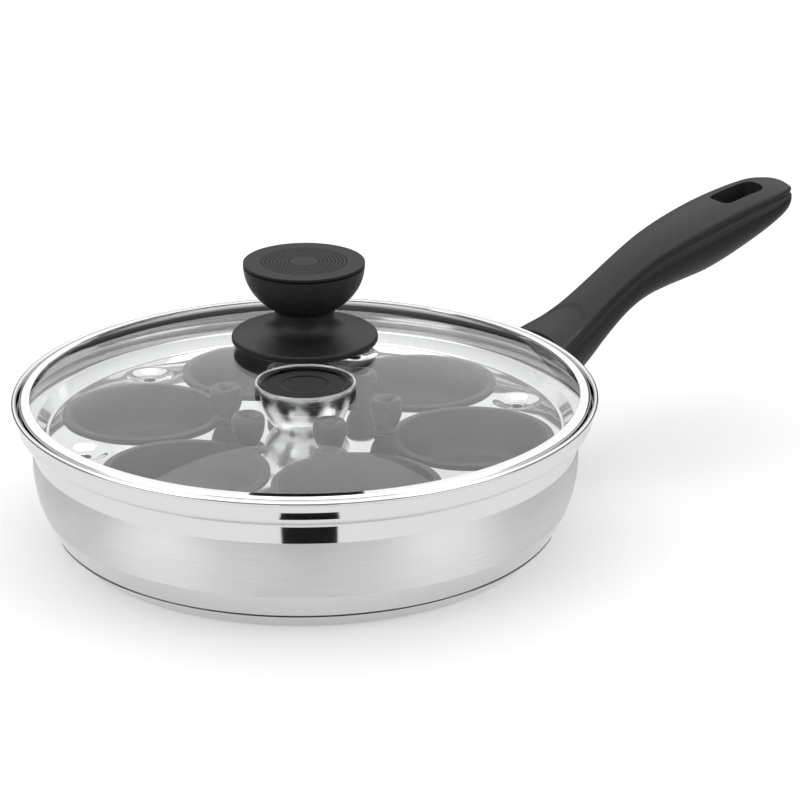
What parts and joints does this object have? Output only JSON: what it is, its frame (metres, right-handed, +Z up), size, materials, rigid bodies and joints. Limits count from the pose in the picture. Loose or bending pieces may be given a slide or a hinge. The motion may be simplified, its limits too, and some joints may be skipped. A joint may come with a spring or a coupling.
{
  "type": "egg poacher pan",
  "caption": "Round steel pan with a stepped lip, a lift-out tray of egg cups with upright grips, a domed glass lid with a mushroom knob, and a long curved handle.",
  "frame": {"origin": "middle of the underside of the base, where the pan stands on the hob", "axes": "+Z up, +X out along the handle, +Y to the left of the handle seen from the pan"},
  "size_m": [0.4527, 0.29, 0.141],
  "materials": {
    "pan_steel": "polished bands above and below a satin band with a grain round the wall",
    "tray_steel": "polished",
    "band_steel": "polished",
    "fastener_steel": "machined",
    "core_aluminium": "plain",
    "cup_coating": "dark non-stick coating",
    "grip_moulding": "satin black",
    "handle_moulding": "satin black, fine grain",
    "knob_moulding": "satin black, fine grain",
    "lid_glass": "clear",
    "brass_sleeve": "plain",
    "silicone": "matt"
  },
  "bodies": {
    "pan": {"pan_body": "pan_steel", "base_core": "core_aluminium", "base_cap": "pan_steel", "handle_bracket": "fastener_steel", "handle_screw": "fastener_steel", "handle_grip": "handle_moulding"},
    "tray": {"egg_tray": "tray_steel", "tray_knob": "tray_steel", "tray_knob_insert": "grip_moulding", "tray_knob_screw": "fastener_steel"},
    "lid": {"lid_glass": "lid_glass", "lid_rim_band": "band_steel", "lid_knob": "knob_moulding", "knob_disc": "knob_moulding", "knob_insert": "brass_sleeve", "knob_gasket": "silicone", "knob_seal": "silicone", "knob_washer": "fastener_steel", "knob_screw": "fastener_steel"},
    "cup_1": {"egg_cup_1": "cup_coating", "cup_grip_1": "grip_moulding", "cup_screw_1": "fastener_steel"},
    "cup_2": {"egg_cup_2": "cup_coating", "cup_grip_2": "grip_moulding", "cup_screw_2": "fastener_steel"},
    "cup_3": {"egg_cup_3": "cup_coating", "cup_grip_3": "grip_moulding", "cup_screw_3": "fastener_steel"},
    "cup_4": {"egg_cup_4": "cup_coating", "cup_grip_4": "grip_moulding", "cup_screw_4": "fastener_steel"},
    "cup_5": {"egg_cup_5": "cup_coating", "cup_grip_5": "grip_moulding", "cup_screw_5": "fastener_steel"},
    "cup_6": {"egg_cup_6": "cup_coating", "cup_grip_6": "grip_moulding", "cup_screw_6": "fastener_steel"}
  },
  "joints": [
    {"name": "tray_lift", "type": "slide", "parent": "pan", "child": "tray", "axis": [0, 0, 1], "range_m": [0, 0.1]},
    {"name": "lid_lift", "type": "slide", "parent": "tray", "child": "lid", "axis": [0, 0, 1], "range_m": [0, 0.16]},
    {"name": "cup_1_lift", "type": "slide", "parent": "tray", "child": "cup_1", "axis": [0, 0, 1], "range_m": [0, 0.05]},
    {"name": "cup_2_lift", "type": "slide", "parent": "tray", "child": "cup_2", "axis": [0, 0, 1], "range_m": [0, 0.05]},
    {"name": "cup_3_lift", "type": "slide", "parent": "tray", "child": "cup_3", "axis": [0, 0, 1], "range_m": [0, 0.05]},
    {"name": "cup_4_lift", "type": "slide", "parent": "tray", "child": "cup_4", "axis": [0, 0, 1], "range_m": [0, 0.05]},
    {"name": "cup_5_lift", "type": "slide", "parent": "tray", "child": "cup_5", "axis": [0, 0, 1], "range_m": [0, 0.05]},
    {"name": "cup_6_lift", "type": "slide", "parent": "tray", "child": "cup_6", "axis": [0, 0, 1], "range_m": [0, 0.05]}
  ],
  "couplings": [
    {"joint": "cup_1_lift", "follows": "lid_lift", "ratio": 0.3},
    {"joint": "cup_2_lift", "follows": "lid_lift", "ratio": 0.3},
    {"joint": "cup_3_lift", "follows": "lid_lift", "ratio": 0.3},
    {"joint": "cup_4_lift", "follows": "lid_lift", "ratio": 0.3},
    {"joint": "cup_5_lift", "follows": "lid_lift", "ratio": 0.3},
    {"joint": "cup_6_lift", "follows": "lid_lift", "ratio": 0.3}
  ]
}
